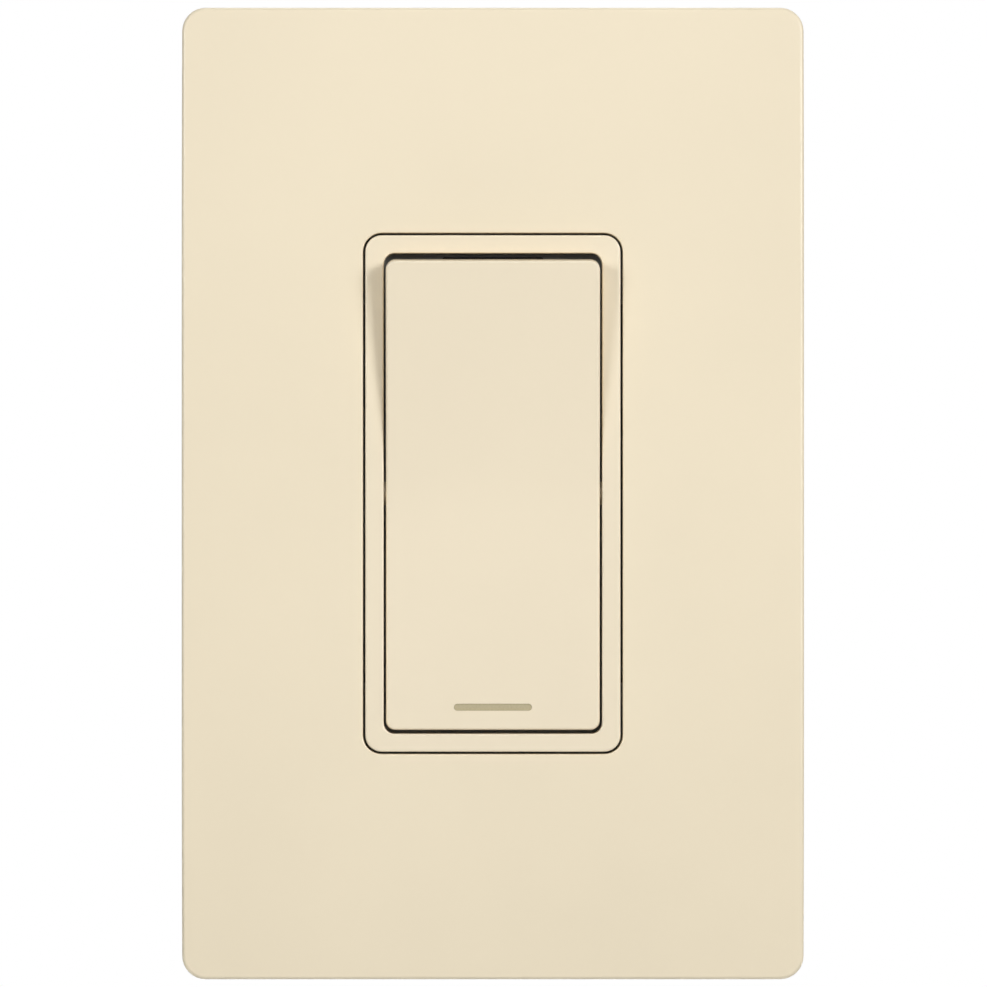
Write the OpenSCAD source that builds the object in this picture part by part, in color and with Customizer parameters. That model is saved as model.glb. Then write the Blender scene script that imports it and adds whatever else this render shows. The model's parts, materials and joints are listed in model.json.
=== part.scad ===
// Rocker wall switch for one gang, with a clip-on wall plate.
// X is to the right and Z is up as the user faces the switch; the front faces -Y.
// The wall surface is the plane Y = 0, and the origin is midway between the two box screws.

/* [Wall plate] */
// Overall width of the wall plate
plate_w = 79.8; // [70:0.1:110]
// Overall height of the wall plate
plate_h = 124.8; // [117:0.1:160]
// How far the middle of the plate stands off the wall
plate_proud = 7.0; // [6.8:0.1:9]
// Wall thickness of the plate
plate_wall = 2.0; // [1.4:0.1:2.4]
// Corner radius of the plate, seen from the front
plate_corner_r = 3.0; // [2.5:0.1:6]
// Half height of the flat middle stretch of the front
plate_flat_half = 27; // [10:0.5:35]
// How far the front falls back from the flat to the top and bottom edges
plate_end_drop = 2.0; // [0.5:0.1:2.2]
// Width of the device opening
opening_w = 33.3; // [28:0.1:42]
// Height of the device opening
opening_h = 66.8; // [55:0.1:69]
// Corner radius of the device opening
opening_r = 2.4; // [0.8:0.1:4]
// Reach of each snap rib and of each snap tooth
snap_reach = 0.2; // [0.1:0.05:0.2]

/* [Sub-plate] */
// Gap from the sub-plate to the inner walls of the wall plate
sub_plate_gap = 0.5; // [0.45:0.05:1]
// Thickness of the sub-plate panel
sub_plate_t = 1.6; // [1:0.1:2]
// Thickness of the rim around the sub-plate
sub_plate_rim = 1.4; // [1:0.1:3]

/* [Bezel] */
// Gap between the bezel and the device opening
bezel_gap = 0.3; // [0.15:0.05:0.6]
// How far the bezel stands off the wall
bezel_proud = 7.4; // [6.8:0.1:9]
// Thickness of the bezel's long sides
bezel_side_wall = 2.35; // [2:0.05:3]
// Thickness of the bezel's ends
bezel_end_wall = 2.3; // [1.5:0.05:3]

/* [Paddle] */
// Full rocking angle from off to on, in degrees
rock_deg = 7; // [5:0.5:8]
// Gap between the paddle and the bezel's long sides
paddle_side_gap = 0.3; // [0.2:0.05:0.5]
// Gap between the paddle's ends and the bezel, with the paddle level
paddle_end_gap = 0.7; // [0.5:0.05:1.5]
// How far the pressed half of the paddle lies behind the bezel's front
paddle_inset = 0.25; // [0:0.05:0.8]
// Distance of the rocking axis from the wall
rocker_axis_proud = 4.5; // [4.2:0.1:5]
// Thickness of the paddle's face
paddle_skin = 2.0; // [1.5:0.1:2.2]
// Thickness of the paddle's long skirts
paddle_skirt = 1.6; // [1.2:0.1:2.4]
// Radius of the two trunnions that the paddle rocks on
trunnion_r = 1.5; // [1.2:0.05:1.8]

/* [Mounting strap] */
// Thickness of the steel strap
strap_t = 1.2; // [1:0.1:1.5]
// Overall height of the strap
strap_h = 106.4; // [104:0.1:110]
// Width of the strap across its ears
ear_w = 44.5; // [38:0.1:60]
// Distance between the two box screws
box_screw_pitch = 83.34; // [82:0.01:84]
// Distance between the two sub-plate screws
plate_screw_pitch = 96.82; // [96:0.01:98]
// Length of the box screws under the head
box_screw_len = 25.4; // [19:0.1:38]

/* [Mechanism] */
// Width of the switch housing
housing_w = 35; // [34:0.5:44]
// Depth of the switch housing behind the wall surface
housing_depth = 24; // [22:0.5:32]
// Thickness of the housing's back wall
housing_back = 2.6; // [2:0.1:4]
// Tilt of the contact bridge each side of level, in degrees
bridge_tilt_deg = 7.5; // [6:0.5:9]
// Distance of the moving contact from the bridge's pivot
contact_arm = 9.5; // [8:0.1:11]
// Radius of the spring-loaded plunger
plunger_r = 2.5; // [2:0.1:2.8]
// Height of the terminal screws above and below the centre
terminal_z = 12; // [11.5:0.1:13]
// Radius of the back-wiring holes
wire_hole_r = 1.2; // [1:0.05:1.4]

/* [Hidden] */
$fn = 64;
eps = 0.05;               // overlap that joins two shapes, or clears a cut
running_clearance = 0.05; // radial play of a turning or sliding fit
seat_clearance = 0.03;    // radial play of a screw or rivet in its own hole

// Wall plate and sub-plate
plate_arc_run = plate_h / 2 - plate_flat_half;
plate_arc_r = (pow(plate_arc_run, 2) + pow(plate_end_drop, 2)) / (2 * plate_end_drop);
plate_in_w = plate_w - 2 * plate_wall;
plate_in_h = plate_h - 2 * plate_wall;
sub_plate_w = plate_in_w - 2 * sub_plate_gap;
sub_plate_h = plate_in_h - 4 * sub_plate_gap;
sub_plate_front = -strap_t - sub_plate_t;
snap_run = 14;            // length of a snap rib or tooth
snap_z = 30;              // height of the middle of each snap
pry_slot_w = 8;
pry_slot_d = 1.2;

// Screws and rivets
box_screw_z = box_screw_pitch / 2;
plate_screw_z = plate_screw_pitch / 2;
box_thread_r = 1.75;
box_shank_r = 1.5;
box_head_r = 3.45;
box_head_h = 2.0;
box_head_room = 0.25;
plate_screw_r = 1.72;
plate_head_r = 3.0;
plate_head_h = 0.9;
plate_screw_len = 12.1;
driver_slot_w = 0.9;
retainer_side = 8;
retainer_t = 0.4;
rivet_r = 1.2;
rivet_head_r = 2.2;
rivet_head_h = 0.7;
rivet_x = 9.5;
rivet_inset = 3.3;        // from the bezel's inner end to the rivet
rivet_land = 3.5;         // from the rivet to the housing's end
rivet_recess = 1.0;

// Bezel and strap
bezel_w = opening_w - 2 * bezel_gap;
bezel_h = opening_h - 2 * bezel_gap;
bezel_r = opening_r - bezel_gap;
bezel_open_w = bezel_w - 2 * bezel_side_wall;
bezel_open_h = bezel_h - 2 * bezel_end_wall;
bezel_open_r = 1.4;
strap_w = bezel_w + 0.3;
post_r = 0.8;
post_x = strap_w / 2 - 1.5;
post_z = bezel_h * 0.3;
strap_window_w = 22;
strap_window_h = 44;
ear_from = 44;            // height at which the ears begin
ear_r = 2;
ear_hole_x = ear_w / 2 - 5;
score_x = 12;
score_w = 0.6;
score_d = 0.4;
box_slot_w = 7.5;
box_slot_h = 4.8;

// Housing
rivet_z = bezel_open_h / 2 - rivet_inset;
housing_h = 2 * (rivet_z + rivet_land);
housing_r = 2;
housing_floor = housing_depth - housing_back;
cover_w = 30;
cover_h = 2 * (rivet_z - 2.4);
cover_t = 1.6;
cover_play = 0.1;
cover_recess = 1.8;
chamber_w = 13;
chamber_h = 34;
bay_from = 8.5;           // inner end of each terminal bay
bay_h = 9.2;
bay_front = 4;
gauge_w = 12;
gauge_h = 2.4;
gauge_d = 0.4;

// Ground tab and screw
tab_w = 8;
tab_len = 12;
tab_gap = 0.5;
tab_z = -housing_h / 2 - tab_gap - tab_w / 2;
ground_y = 6;
ground_r = 2.0;
ground_head_r = 4.6;
ground_head_h = 2.2;
ground_screw_len = 7.5;

// Terminals
metal_t = 1.0;            // thickness of the brass strips
blade_w = 8;
blade_x = 13;
blade_front = 4.4;
ear_gap = 0.6;            // from the bridge to each pivot ear
common_foot = 3;
load_edge = 2.4;          // from the fixed contact's middle to the strip's edge
ear_half = 2.2;
screw_y = 12.5;
screw_r = 2.0;
screw_head_r = 4.25;
screw_head_h = 2.4;
screw_len = 6.1;
clamp_t = 1.2;
clamp_side = 8.8;
clamp_gap = 0.1;
clamp_x = blade_x + metal_t + clamp_gap;
screw_head_x = clamp_x + clamp_t;
wire_hole_x = blade_x + metal_t + wire_hole_r + eps;
wire_hole_dz = 3.35;

// Contact bridge, contacts and plunger, worked forward from the housing's floor
bridge_w = 7;
common_half_w = bridge_w / 2 + ear_gap + metal_t;
bridge_half = 11;
bridge_t = 1.0;
bridge_pin_r = 1.0;
bridge_pin_end = 0.4;     // how far each pivot pin stands out of its ear
contact_r = 2.0;
contact_h = 0.9;
contact_crown = 0.3;
crown_r = (pow(contact_r, 2) + pow(contact_crown, 2)) / (2 * contact_crown);
crown_y = bridge_t / 2 + contact_h - crown_r;
fixed_contact_h = 0.8;
fixed_contact_r = 2.2;
contact_closed_gap = 0.04;
fixed_contact_y = housing_floor - metal_t - fixed_contact_h;
bridge_y = fixed_contact_y - contact_closed_gap - crown_r
           - crown_y * cos(bridge_tilt_deg) - contact_arm * sin(bridge_tilt_deg);
fixed_contact_z = -contact_arm * cos(bridge_tilt_deg) + crown_y * sin(bridge_tilt_deg);
tip_r = 1.5;
tip_gap = 0.05;
half_rock = rock_deg / 2;

// Paddle, measured from its rocking axis with the paddle level
axis_y = -rocker_axis_proud;
paddle_w = bezel_open_w - 2 * paddle_side_gap;
paddle_half = bezel_open_h / 2 - paddle_end_gap;
paddle_r = 1.2;
paddle_end_wall = 2.0;
face_off = bezel_proud - paddle_inset - rocker_axis_proud;
bumper_t = 1.0;
bumper_w = 13;
bumper_depth = 2.6;
bumper_gap = 0.05;
skirt_rear = (rocker_axis_proud - strap_t - bumper_t - bumper_gap - paddle_half * sin(half_rock))
             / cos(half_rock);
lug_r = trunnion_r + 1.1;
trunnion_len = 1.8;
bore_depth = 1.6;         // depth of each trunnion bore in the bezel
boss_r = plunger_r + 1.75;
web_t = 1.4;
bore_end = -0.5;          // front end of the plunger bore
tip_y = bridge_y - bridge_t / 2 - tip_gap - tip_r - axis_y;
boss_end = tip_y - 5.9;
plunger_back = boss_end - 4.5;
plunger_neck = tip_y - 2.4;
cover_slot_w = 2 * boss_r + 1.5;
cover_slot_h = 2 * boss_r + 3.5;
spring_wire_r = 0.2;
spring_coil_r = 1.85;
spring_turns = 7;
spring_steps = 14;        // rings in each turn
spring_sides = 6;

// --- Helpers -------------------------------------------------------------------------------

// Rectangle with round corners, centred on the origin
module rounded_rect(w, h, r) {
    square([w - 2 * r, h], center = true);
    square([w, h - 2 * r], center = true);
    for (x = [-1, 1], z = [-1, 1])
        translate([x * (w / 2 - r), z * (h / 2 - r)]) circle(r);
}

// Extrudes an X-Z outline from y0 back to y1
module along_y(y0, y1) {
    translate([0, y1, 0]) rotate([90, 0, 0]) linear_extrude(y1 - y0) children();
}

// Extrudes a Y-Z outline across a width centred on X = 0
module across_x(w) {
    rotate([90, 0, 90]) linear_extrude(w, center = true) children();
}

// Box from its low corner to its high corner
module block(low, high) {
    translate(low) cube(high - low);
}

// Cylinder along +Y from y0 to y1
module rod_y(x, z, r, y0, y1) {
    translate([x, y0, z]) rotate([-90, 0, 0]) cylinder(r = r, h = y1 - y0);
}

// Cylinder along +X from x0 to x1
module rod_x(y, z, r, x0, x1) {
    translate([x0, y, z]) rotate([0, 90, 0]) cylinder(r = r, h = x1 - x0);
}

// --- Wall plate ----------------------------------------------------------------------------

// Side outline of the plate: a flat middle with an arc that falls back at each end
module plate_outline(front, half, arc_r, back) {
    translate([front, -plate_flat_half]) square([back - front, 2 * plate_flat_half]);
    for (s = [-1, 1])
        intersection() {
            translate([front + arc_r, s * plate_flat_half]) circle(arc_r, $fn = 720);
            translate([front, s > 0 ? plate_flat_half : -half])
                square([back - front, half - plate_flat_half]);
        }
}

module plate_block(w, h, r, front, arc_r, back) {
    intersection() {
        across_x(w + 1) plate_outline(front, h / 2 + 1, arc_r, back);
        along_y(front - 1, back) rounded_rect(w, h, r);
    }
}

module wall_plate() color([0.93, 0.88, 0.78]) {
    difference() {
        plate_block(plate_w, plate_h, plate_corner_r, -plate_proud, plate_arc_r, 0);
        plate_block(plate_in_w, plate_in_h, plate_corner_r - plate_wall / 2,
                    plate_wall - plate_proud, plate_arc_r - plate_wall, 1);
        along_y(-plate_proud - 1, 1) rounded_rect(opening_w, opening_h, opening_r);
        block([-pry_slot_w / 2, -pry_slot_d, -plate_h / 2 - 1],
              [pry_slot_w / 2, 1, -plate_in_h / 2 + 1]);
    }
    for (x = [0, 1], z = [-1, 1])
        mirror([x, 0, 0])
            block([plate_in_w / 2 - snap_reach, -1.0, z * snap_z - snap_run / 2],
                  [plate_in_w / 2 + eps, -0.2, z * snap_z + snap_run / 2]);
}

// --- Sub-plate -----------------------------------------------------------------------------

module sub_plate() color([0.90, 0.86, 0.77]) {
    difference() {
        along_y(sub_plate_front, 0) rounded_rect(sub_plate_w, sub_plate_h, 2);
        along_y(-strap_t, 1)
            rounded_rect(sub_plate_w - 2 * sub_plate_rim, sub_plate_h - 2 * sub_plate_rim, 1);
        along_y(sub_plate_front - 1, 1) rounded_rect(opening_w, opening_h, opening_r);
        for (s = [-1, 1]) {
            rod_y(0, s * box_screw_z, box_head_r + box_head_room, sub_plate_front - 1, 1);
            rod_y(0, s * plate_screw_z, plate_screw_r + 0.2, sub_plate_front - 1, 1);
        }
    }
    for (x = [0, 1], z = [-1, 1])
        mirror([x, 0, 0])
            block([sub_plate_w / 2 - eps, -2.2, z * snap_z - snap_run / 2],
                  [sub_plate_w / 2 + snap_reach, -1.4, z * snap_z + snap_run / 2]);
}

module sub_plate_screws() color([0.88, 0.84, 0.75]) {
    for (s = [-1, 1])
        difference() {
            union() {
                rod_y(0, s * plate_screw_z, plate_head_r,
                      sub_plate_front - plate_head_h, sub_plate_front);
                rod_y(0, s * plate_screw_z, plate_screw_r,
                      sub_plate_front - eps, sub_plate_front + plate_screw_len);
            }
            driver_slot_y(s * plate_screw_z, sub_plate_front - plate_head_h, 0.5);
        }
}

// Slot for a flat driver in a screw head that faces the front
module driver_slot_y(z, y, depth) {
    block([-10, y - 1, z - driver_slot_w / 2], [10, y + depth, z + driver_slot_w / 2]);
}

// --- Strap and the screws that hold it ------------------------------------------------------

module strap_outline() {
    difference() {
        union() {
            square([strap_w, 2 * ear_from + 4], center = true);
            for (s = [-1, 1])
                translate([0, s * (strap_h / 2 + ear_from) / 2])
                    rounded_rect(ear_w, strap_h / 2 - ear_from, ear_r);
        }
        rounded_rect(strap_window_w, strap_window_h, 2);
        for (s = [-1, 1]) {
            translate([0, s * box_screw_z]) {
                square([box_slot_w - box_slot_h, box_slot_h], center = true);
                for (x = [-1, 1])
                    translate([x * (box_slot_w - box_slot_h) / 2, 0]) circle(box_slot_h / 2);
            }
            translate([0, s * plate_screw_z]) circle(plate_screw_r + seat_clearance);
            for (x = [-1, 1]) {
                translate([x * ear_hole_x, s * plate_screw_z]) circle(1.5);
                translate([x * rivet_x, s * rivet_z]) circle(rivet_r + seat_clearance);
                translate([x * post_x, s * post_z]) circle(post_r + running_clearance);
            }
        }
    }
}

module strap() color([0.72, 0.73, 0.74]) {
    difference() {
        union() {
            along_y(-strap_t, 0) strap_outline();
            block([-strap_w / 2, -eps, tab_z - tab_w / 2],
                  [strap_t - strap_w / 2, tab_len, tab_z + tab_w / 2]);
        }
        for (x = [-1, 1], s = [-1, 1])
            block([x * score_x - score_w / 2, -strap_t - 1, s > 0 ? ear_from : -strap_h / 2 - 1],
                  [x * score_x + score_w / 2, score_d - strap_t,
                   s > 0 ? strap_h / 2 + 1 : -ear_from]);
        rod_x(ground_y, tab_z, ground_r + seat_clearance,
              -strap_w / 2 - 1, strap_t - strap_w / 2 + 1);
    }
}

module mounting_screws() color([0.74, 0.74, 0.75]) {
    for (s = [-1, 1])
        difference() {
            union() {
                rod_y(0, s * box_screw_z, box_head_r, -strap_t - box_head_h, -strap_t);
                rod_y(0, s * box_screw_z, box_shank_r, -strap_t - eps, retainer_t + eps);
                rod_y(0, s * box_screw_z, box_thread_r, retainer_t, box_screw_len - strap_t);
            }
            driver_slot_y(s * box_screw_z, -strap_t - box_head_h, 1.0);
        }
}

module screw_retainers() color([0.78, 0.62, 0.42]) {
    for (s = [-1, 1])
        along_y(0, retainer_t)
            translate([0, s * box_screw_z])
                difference() {
                    square(retainer_side, center = true);
                    circle(box_shank_r + seat_clearance);
                }
}

module ground_screw() color([0.20, 0.48, 0.24]) {
    face = -strap_w / 2;
    difference() {
        union() {
            translate([face - ground_head_h, ground_y, tab_z])
                rotate([0, 90, 0]) cylinder(r = ground_head_r, h = ground_head_h, $fn = 6);
            rod_x(ground_y, tab_z, ground_r, face - eps, face + ground_screw_len);
        }
        block([face - ground_head_h - 1, ground_y - driver_slot_w / 2, tab_z - 10],
              [face - ground_head_h + 1, ground_y + driver_slot_w / 2, tab_z + 10]);
    }
}

// --- Bezel ---------------------------------------------------------------------------------

module bezel() color([0.88, 0.84, 0.75]) {
    difference() {
        along_y(-bezel_proud, -strap_t) rounded_rect(bezel_w, bezel_h, bezel_r);
        along_y(-bezel_proud - 1, 1) rounded_rect(bezel_open_w, bezel_open_h, bezel_open_r);
        for (x = [0, 1])
            mirror([x, 0, 0])
                rod_x(axis_y, 0, trunnion_r + running_clearance,
                      bezel_open_w / 2 - 1, bezel_open_w / 2 + bore_depth);
    }
    for (x = [-1, 1], s = [-1, 1])
        rod_y(x * post_x, s * post_z, post_r, -strap_t - eps, -eps);
}

module paddle_bumpers() color([0.25, 0.25, 0.26]) {
    for (s = [-1, 1])
        block([-bumper_w / 2, -strap_t - bumper_t,
               s * (paddle_half - paddle_end_wall / 2) - bumper_depth / 2],
              [bumper_w / 2, -strap_t,
               s * (paddle_half - paddle_end_wall / 2) + bumper_depth / 2]);
}

module assembly_rivets() color([0.76, 0.76, 0.77]) {
    for (x = [-1, 1], s = [-1, 1]) {
        rod_y(x * rivet_x, s * rivet_z, rivet_head_r, -strap_t - rivet_head_h, -strap_t);
        rod_y(x * rivet_x, s * rivet_z, rivet_r,
              -strap_t - eps, housing_depth - rivet_recess + eps);
        rod_y(x * rivet_x, s * rivet_z, rivet_head_r, housing_depth - rivet_recess,
              housing_depth - rivet_recess + rivet_head_h);
    }
}

// --- Paddle and plunger: drawn level about the rocking axis, then rocked to off -------------

module rocked() {
    translate([0, axis_y, 0]) rotate([half_rock, 0, 0]) children();
}

// Y-Z outline of the paddle's two-plane face, with its front off from the axis
module paddle_outline(off, half, rear) {
    centre = -off / cos(half_rock);
    end = centre - half * tan(half_rock);
    polygon([[centre, 0], [end, half], [rear, half], [rear, -half], [end, -half]]);
}

module paddle() color([0.89, 0.85, 0.76]) {
    inner_w = paddle_w - 2 * paddle_skirt;
    rocked() difference() {
        union() {
            difference() {
                intersection() {
                    across_x(paddle_w) paddle_outline(face_off, paddle_half, skirt_rear);
                    along_y(-20, 20) rounded_rect(paddle_w, 2 * paddle_half, paddle_r);
                }
                across_x(inner_w)
                    paddle_outline(face_off - paddle_skin, paddle_half - paddle_end_wall, 20);
            }
            rod_y(0, 0, boss_r, bore_end - 1, boss_end);
            block([-inner_w / 2 - eps, bore_end - 1, -web_t / 2],
                  [inner_w / 2 + eps, skirt_rear, web_t / 2]);
            for (x = [0, 1])
                mirror([x, 0, 0]) {
                    rod_x(0, 0, lug_r, inner_w / 2, paddle_w / 2);
                    rod_x(0, 0, trunnion_r, inner_w / 2 + eps, paddle_w / 2 + trunnion_len);
                }
        }
        rod_y(0, 0, plunger_r + running_clearance, bore_end, boss_end + 1);
    }
}

module plunger() color([0.93, 0.93, 0.90]) {
    rocked() {
        rod_y(0, 0, plunger_r, plunger_back, plunger_neck);
        translate([0, plunger_neck - eps, 0]) rotate([-90, 0, 0])
            cylinder(r1 = plunger_r, r2 = tip_r - 0.2, h = tip_y - 0.4 - plunger_neck);
        translate([0, tip_y, 0]) sphere(tip_r);
    }
}

// Point on the wire's surface: ring number i, side number j
function spring_point(i, j) =
    let (turn = 360 * i / spring_steps,
         side = 360 * j / spring_sides,
         r = spring_coil_r + spring_wire_r * cos(side),
         y0 = bore_end + spring_wire_r + eps,
         y1 = plunger_back - spring_wire_r - eps)
    [r * cos(turn), y0 + (y1 - y0) * i / (spring_turns * spring_steps)
                    + spring_wire_r * sin(side), r * sin(turn)];

module plunger_spring() color([0.66, 0.67, 0.69]) {
    rings = spring_turns * spring_steps;
    points = [for (i = [0:rings], j = [0:spring_sides - 1]) spring_point(i, j)];
    sides = [for (i = [0:rings - 1], j = [0:spring_sides - 1])
        let (a = i * spring_sides + j, b = i * spring_sides + (j + 1) % spring_sides)
        [a, b, b + spring_sides, a + spring_sides]];
    first = [for (j = [spring_sides - 1:-1:0]) j];
    last = [for (j = [0:spring_sides - 1]) rings * spring_sides + j];
    rocked() polyhedron(points, concat(sides, [first, last]), convexity = 10);
}

// --- Contact bridge, drawn level about its pivot, then tilted to off -------------------------

module tilted() {
    translate([0, bridge_y, 0]) rotate([-bridge_tilt_deg, 0, 0]) children();
}

module contact_bridge() color([0.83, 0.66, 0.35]) {
    tilted() {
        block([-bridge_w / 2, -bridge_t / 2, -bridge_half],
              [bridge_w / 2, bridge_t / 2, bridge_half]);
        for (x = [0, 1])
            mirror([x, 0, 0])
                rod_x(0, 0, bridge_pin_r, bridge_w / 2 - eps, common_half_w + bridge_pin_end);
    }
}

module moving_contact() color([0.85, 0.85, 0.86]) {
    tilted() intersection() {
        rod_y(0, -contact_arm, contact_r, bridge_t / 2, bridge_t / 2 + contact_h + 1);
        translate([0, crown_y, -contact_arm]) sphere(crown_r, $fn = 180);
    }
}

// --- Fixed terminals -----------------------------------------------------------------------

// Strip across the housing's floor that turns forward into the plate behind a wire clamp
module terminal_blade(s) {
    low = s * terminal_z - blade_w / 2;
    high = s * terminal_z + blade_w / 2;
    difference() {
        union() {
            block([0, housing_floor - metal_t, low], [blade_x + metal_t, housing_floor, high]);
            block([blade_x, blade_front, low], [blade_x + metal_t, housing_floor, high]);
        }
        rod_x(screw_y, s * terminal_z, screw_r + seat_clearance, blade_x - 1, blade_x + 3);
    }
}

module common_terminal() color([0.80, 0.64, 0.34]) {
    terminal_blade(1);
    block([-common_half_w, housing_floor - metal_t, -common_foot],
          [common_half_w, housing_floor, terminal_z + blade_w / 2]);
    for (x = [0, 1])
        mirror([x, 0, 0]) difference() {
            block([common_half_w - metal_t, bridge_y - 1.4, -ear_half],
                  [common_half_w, housing_floor, ear_half]);
            rod_x(bridge_y, 0, bridge_pin_r + running_clearance, 0, common_half_w + 1);
            block([0, bridge_y - 5, -bridge_pin_r - running_clearance],
                  [common_half_w + 1, bridge_y, bridge_pin_r + running_clearance]);
        }
}

module load_terminal() color([0.80, 0.64, 0.34]) {
    terminal_blade(-1);
    block([-4, housing_floor - metal_t, -terminal_z - blade_w / 2],
          [5, housing_floor, fixed_contact_z + load_edge]);
}

module fixed_contact() color([0.85, 0.85, 0.86]) {
    rod_y(0, fixed_contact_z, fixed_contact_r, fixed_contact_y, housing_floor - metal_t);
}

// --- Housing -------------------------------------------------------------------------------

module housing() color([0.16, 0.16, 0.17]) {
    difference() {
        along_y(0, housing_depth) rounded_rect(housing_w, housing_h, housing_r);
        block([-cover_w / 2 - cover_play, -1, -cover_h / 2 - cover_play],
              [cover_w / 2 + cover_play, cover_recess, cover_h / 2 + cover_play]);
        block([-chamber_w / 2, 0, -chamber_h / 2], [chamber_w / 2, housing_floor, chamber_h / 2]);
        for (x = [0, 1], s = [-1, 1])
            mirror([x, 0, 0])
                block([bay_from, bay_front, s * terminal_z - bay_h / 2],
                      [housing_w, housing_floor, s * terminal_z + bay_h / 2]);
        for (s = [-1, 1]) {
            block([0, housing_floor - metal_t - 0.1, s * terminal_z - blade_w / 2 - 0.1],
                  [bay_from + 1, housing_floor, s * terminal_z + blade_w / 2 + 0.1]);
            for (d = [-1, 1])
                rod_y(wire_hole_x, s * terminal_z + d * wire_hole_dz, wire_hole_r,
                      housing_floor - 1, housing_depth + 1);
            for (x = [-1, 1]) {
                rod_y(x * rivet_x, s * rivet_z, rivet_r + seat_clearance, -1, housing_depth + 1);
                rod_y(x * rivet_x, s * rivet_z, rivet_head_r + 0.2,
                      housing_depth - rivet_recess, housing_depth + 1);
            }
        }
        block([-gauge_w / 2, housing_depth - gauge_d, -gauge_h / 2],
              [gauge_w / 2, housing_depth + 1, gauge_h / 2]);
    }
}

module mechanism_cover() color([0.20, 0.20, 0.21]) {
    difference() {
        along_y(cover_recess - cover_t, cover_recess) square([cover_w, cover_h], center = true);
        along_y(0, 5) rounded_rect(cover_slot_w, cover_slot_h, 1);
    }
}

// --- Terminal screws and wire clamps ---------------------------------------------------------

module terminal_screw(s) {
    difference() {
        union() {
            rod_x(screw_y, s * terminal_z, screw_head_r, screw_head_x, screw_head_x + screw_head_h);
            rod_x(screw_y, s * terminal_z, screw_r, screw_head_x - screw_len, screw_head_x + eps);
        }
        block([screw_head_x + screw_head_h - 1.2, screw_y - driver_slot_w / 2, -50],
              [screw_head_x + screw_head_h + 1, screw_y + driver_slot_w / 2, 50]);
    }
}

module wire_clamp(s) {
    difference() {
        block([clamp_x, screw_y - clamp_side / 2, s * terminal_z - clamp_side / 2],
              [screw_head_x, screw_y + clamp_side / 2, s * terminal_z + clamp_side / 2]);
        rod_x(screw_y, s * terminal_z, screw_r + seat_clearance, clamp_x - 1, screw_head_x + 1);
    }
}

module line_screw() color([0.78, 0.60, 0.28]) terminal_screw(1);
module line_clamp() color([0.72, 0.60, 0.36]) wire_clamp(1);
module load_screw() color([0.78, 0.60, 0.28]) terminal_screw(-1);
module load_clamp() color([0.72, 0.60, 0.36]) wire_clamp(-1);

wall_plate();
sub_plate();
sub_plate_screws();
strap();
mounting_screws();
screw_retainers();
ground_screw();
bezel();
paddle_bumpers();
assembly_rivets();
paddle();
plunger();
plunger_spring();
contact_bridge();
moving_contact();
common_terminal();
load_terminal();
fixed_contact();
housing();
mechanism_cover();
line_screw();
line_clamp();
load_screw();
load_clamp();
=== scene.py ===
"""Rocker wall switch with a clip-on wall plate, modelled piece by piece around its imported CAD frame.

Metres throughout, in the CAD frame: X is to the right, Z is up and the front faces -Y. The wall is
the plane Y = 0.
"""

import json
import math

import bpy
from bpy.props import FloatProperty, FloatVectorProperty, IntProperty, PointerProperty
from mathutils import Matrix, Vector


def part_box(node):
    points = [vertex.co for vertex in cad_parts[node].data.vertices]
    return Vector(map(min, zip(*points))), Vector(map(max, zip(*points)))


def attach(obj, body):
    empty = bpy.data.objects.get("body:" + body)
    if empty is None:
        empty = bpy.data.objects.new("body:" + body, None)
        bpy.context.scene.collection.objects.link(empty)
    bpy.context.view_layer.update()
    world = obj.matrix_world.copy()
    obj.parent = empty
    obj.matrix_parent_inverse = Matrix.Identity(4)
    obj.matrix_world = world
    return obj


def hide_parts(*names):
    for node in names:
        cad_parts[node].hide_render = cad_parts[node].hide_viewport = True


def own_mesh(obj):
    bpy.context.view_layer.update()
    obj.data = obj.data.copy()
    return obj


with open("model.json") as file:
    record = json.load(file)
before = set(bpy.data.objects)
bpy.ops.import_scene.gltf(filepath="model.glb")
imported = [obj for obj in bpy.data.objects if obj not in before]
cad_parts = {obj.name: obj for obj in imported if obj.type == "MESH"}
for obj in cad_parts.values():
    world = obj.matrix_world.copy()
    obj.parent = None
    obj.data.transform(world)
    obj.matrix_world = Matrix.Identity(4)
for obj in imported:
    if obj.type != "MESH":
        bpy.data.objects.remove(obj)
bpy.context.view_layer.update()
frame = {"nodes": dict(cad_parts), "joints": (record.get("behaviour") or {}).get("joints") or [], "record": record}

bl_info = {
    "name": "Rocker wall switch",
    "version": (1, 0, 0),
    "blender": (4, 5, 0),
    "location": "3D View > Sidebar > Wall switch",
    "description": "Builds the looks of a rocker wall switch around its CAD frame",
    "category": "Add Mesh",
}

MM = 0.001
RECORD = frame["record"]
BODIES = RECORD["behaviour"]["bodies"]
JOINTS = {joint["name"]: joint for joint in frame["joints"]}
AXIS = Vector(JOINTS["paddle_rock"]["pos_m"])
HALF_ROCK = math.radians(JOINTS["paddle_rock"]["range_deg"][1]) / 2
HALF_TILT = math.radians(JOINTS["bridge_tilt"]["range_deg"][1]) / 2
BRIDGE_AXIS = Vector(JOINTS["bridge_tilt"]["pos_m"])
X, Y, Z = Vector((1, 0, 0)), Vector((0, 1, 0)), Vector((0, 0, 1))


def linear(hex_colour):
    """Turns an sRGB hex colour into linear red, green and blue."""
    parts = [int(hex_colour[i:i + 2], 16) / 255 for i in (0, 2, 4)]
    return tuple(c / 12.92 if c <= 0.04045 else ((c + 0.055) / 1.055) ** 2.4 for c in parts)


def length(name, description, millimetres):
    """A length property with its default in millimetres."""
    return FloatProperty(name=name, description=description, default=millimetres * MM, min=0,
                         unit="LENGTH", precision=5)


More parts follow.
